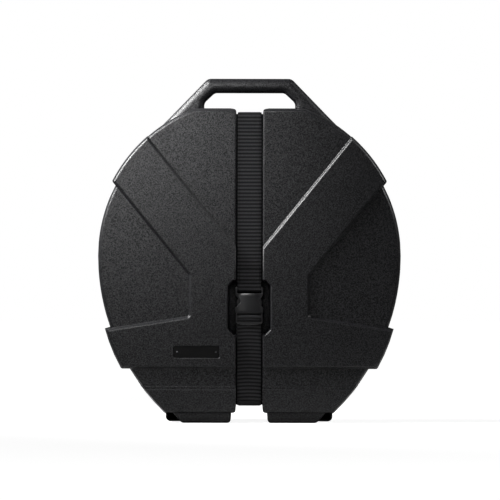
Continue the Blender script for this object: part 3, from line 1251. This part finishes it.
def smoothLoop(points, times):
    for _ in range(times):
        points = [((a[0] * w + b[0] * (1 - w)), (a[1] * w + b[1] * (1 - w)))
                  for a, b in zip(points, points[1:] + points[:1]) for w in (0.78, 0.22)]
    return points


wing = {"baseY": 31.5, "hubR": 8.5, "hubTop": 6.8, "hubThick": 8.0, "span": 18.0, "rise": 14.0, "thick": 3.4,
        "shares": ((0.00, 0.14), (0.33, 0.14), (0.72, 0.44), (1.00, 0.62), (0.985, 0.86), (0.84, 1.00),
                   (0.62, 0.93), (0.34, 0.46), (0.00, 0.43))}


def wingNut():
    w = wing
    top = w["baseY"] - w["hubThick"]
    made = lathe("wingNut", [(0.0, top), (w["hubTop"] - 0.8, top), (w["hubTop"] - 0.2, top + 0.3),
                             (w["hubTop"], top + 0.9), (w["hubR"] - 0.5, w["baseY"] - 2.4),
                             (w["hubR"], w["baseY"] - 1.6), (w["hubR"], w["baseY"] - 0.3),
                             (w["hubR"] - 0.3, w["baseY"]), (0.0, w["baseY"])])
    outline = smoothLoop(mirrorHalf([(a * w["span"], r * w["rise"]) for a, r in w["shares"]]), 3)
    wings = loft("wings", outline, plateLevels(-w["thick"] / 2, w["thick"] / 2, 1.1))
    wings.data.transform(Matrix(((1, 0, 0, 0), (0, 0, -1, w["baseY"]), (0, 1, 0, postZ), (0, 0, 0, 1))))
    cut(made, wings, "UNION")
    cut(made, rod("bore", bolt["boreR"], (0, 60), 0, postZ, 48))
    return finishPiece(made, "wing_nut", ["wing_nut"], "steel", 40)


wingNut()
strapRivet = {"headR": 6.2, "headY": 72.9, "headRise": 1.8, "tail": ((0.0, 63.2), (2.6, 63.3), (3.7, 63.7),
              (4.05, 64.1), (4.05, 64.4), (2.4, 64.4), (2.4, 72.9)), "washer": (8.5, 64.5, 65.7, 0.4)}
for i, z in enumerate(rivetHeights, 1):
    r = strapRivet
    dome = [(r["headR"] * math.cos(a), r["headY"] + r["headRise"] * math.sin(a))
            for a in (math.pi / 2 * k / 7 for k in range(7))] + [(0.0, r["headY"] + r["headRise"])]
    finishPiece(lathe("strapRivet%d" % i, list(r["tail"]) + dome, 0, z, 40), "base", ["strap_rivet_%d" % i],
                "rivet", 40)
    washer = lathe("rivetWasher%d" % i, ringProfile(holes["rivetR"], *r["washer"]), 0, z, 40, True)
    finishPiece(washer, "base", ["rivet_washer_%d" % i], "steel", 40)
print("post and clamp assembled")


view = {"distance": 6.40, "height": 0.3622, "across": 0.0012, "field": 1.0463, "rollDegrees": -0.12}
camera = bpy.data.cameras.new("camera")
cameraObject = bpy.data.objects.new("camera", camera)
scene.collection.objects.link(cameraObject)
camera.sensor_width = 36.0
camera.lens = camera.sensor_width * view["distance"] / view["field"]
cameraObject.location = (view["across"], -shell["faceY"] * mm - view["distance"], view["height"])
cameraObject.rotation_euler = (math.pi / 2, math.radians(view["rollDegrees"]), 0)
camera.clip_end = 60
scene.camera = cameraObject

softboxes = {
    "key": {"at": (-0.39, -1.58, 1.10), "to": (-0.50, -0.08, 0.55), "size": (0.52, 0.40), "watts": 1.55,
            "spread": 47},
    "fill": {"at": (1.6, -1.2, 0.9), "to": (0, -0.08, 0.36), "size": (0.6, 0.8), "watts": 0.40,
             "spread": 180},
    "leftRim": {"at": (-1.25, -0.2, 1.35), "to": (-0.24, -0.03, 0.60), "size": (0.8, 0.5), "watts": 8.0,
                "spread": 46},
    "handleBox": {"at": (-0.98, -0.92, 1.50), "to": (-0.13, 0.0, 0.70), "size": (0.4, 0.3), "watts": 0.8,
                  "spread": 30},
    "strip": {"at": (-0.52, -1.88, 0.32), "to": (0.0, -0.08, 0.25), "size": (0.6, 0.24), "watts": 0.007,
              "spread": 18},
    "rightRim": {"at": (1.5, -0.15, 1.25), "to": (0.24, -0.03, 0.60), "size": (0.8, 0.5), "watts": 1.1,
                 "spread": 46},
}
for name, lamp in softboxes.items():
    light = bpy.data.lights.new(name, "AREA")
    light.shape = "RECTANGLE"
    light.size, light.size_y = lamp["size"]
    light.energy = lamp["watts"]
    light.spread = math.radians(lamp["spread"])
    lightObject = bpy.data.objects.new(name, light)
    lightObject.location = lamp["at"]
    lightObject.rotation_euler = (Vector(lamp["to"]) - Vector(lamp["at"])).to_track_quat("-Z", "Y").to_euler()
    scene.collection.objects.link(lightObject)

world = bpy.data.worlds.new("studio")
scene.world = world
world.use_nodes = True
tree = world.node_tree
tree.nodes.clear()
rays = addNode(tree, "ShaderNodeLightPath")
seen = addNode(tree, "ShaderNodeMath", {"operation": "MAXIMUM"},
               {0: rays.outputs["Is Camera Ray"], 1: rays.outputs["Is Transmission Ray"]})
ambient = addNode(tree, "ShaderNodeBackground", inputs={"Color": toLinear("#ffffff"), "Strength": 0.06})
white = addNode(tree, "ShaderNodeBackground", inputs={"Color": toLinear("#ffffff"), "Strength": 1.0})
mixed = addNode(tree, "ShaderNodeMixShader", inputs={0: seen, 1: ambient,
                                                     2: white})
addNode(tree, "ShaderNodeOutputWorld", inputs={"Surface": mixed})

floorMaterial, tree = newMaterial("studio paper")
rays = addNode(tree, "ShaderNodeLightPath")
paper = addNode(tree, "ShaderNodeBsdfDiffuse", inputs={"Color": toLinear("#a8a8a8")})
place = addNode(tree, "ShaderNodeTexCoord").outputs["Object"]
away = addNode(tree, "ShaderNodeVectorMath", {"operation": "LENGTH"}, {0: place})
level = addNode(tree, "ShaderNodeMapRange", inputs={"Value": away.outputs["Value"], 1: 0.5, 2: 1.6,
                                                    3: 0.9, 4: 1.0})
near = addNode(tree, "ShaderNodeMapRange", inputs={"Value": away.outputs["Value"], 1: 0.35, 2: 0.9,
                                                   3: 0.15, 4: 0.0})
level = addNode(tree, "ShaderNodeMix", inputs={0: rays.outputs["Is Glossy Ray"], 2: level,
                                               3: near})
glow = addNode(tree, "ShaderNodeEmission", inputs={"Color": toLinear("#ffffff"), "Strength": level})
both = addNode(tree, "ShaderNodeAddShader", inputs={0: paper, 1: glow})
seen = addNode(tree, "ShaderNodeMath", {"operation": "MAXIMUM"},
               {0: rays.outputs["Is Camera Ray"], 1: rays.outputs["Is Glossy Ray"]})
mixed = addNode(tree, "ShaderNodeMixShader", inputs={0: seen, 1: paper,
                                                     2: both})
addNode(tree, "ShaderNodeOutputMaterial", inputs={"Surface": mixed})
sheet = {"half": 9, "z": -0.0004}  # just under the case, so that its feet stay whole
bm = bmesh.new()
for x, y in ((-1, -1), (1, -1), (1, 1), (-1, 1)):
    bm.verts.new((x * sheet["half"], y * sheet["half"], sheet["z"]))
bm.faces.new(bm.verts)
floor = meshObject("studioFloor", bm)
floor.data.materials.append(floorMaterial)
print("studio ready")

scene.view_settings.view_transform = "Standard"
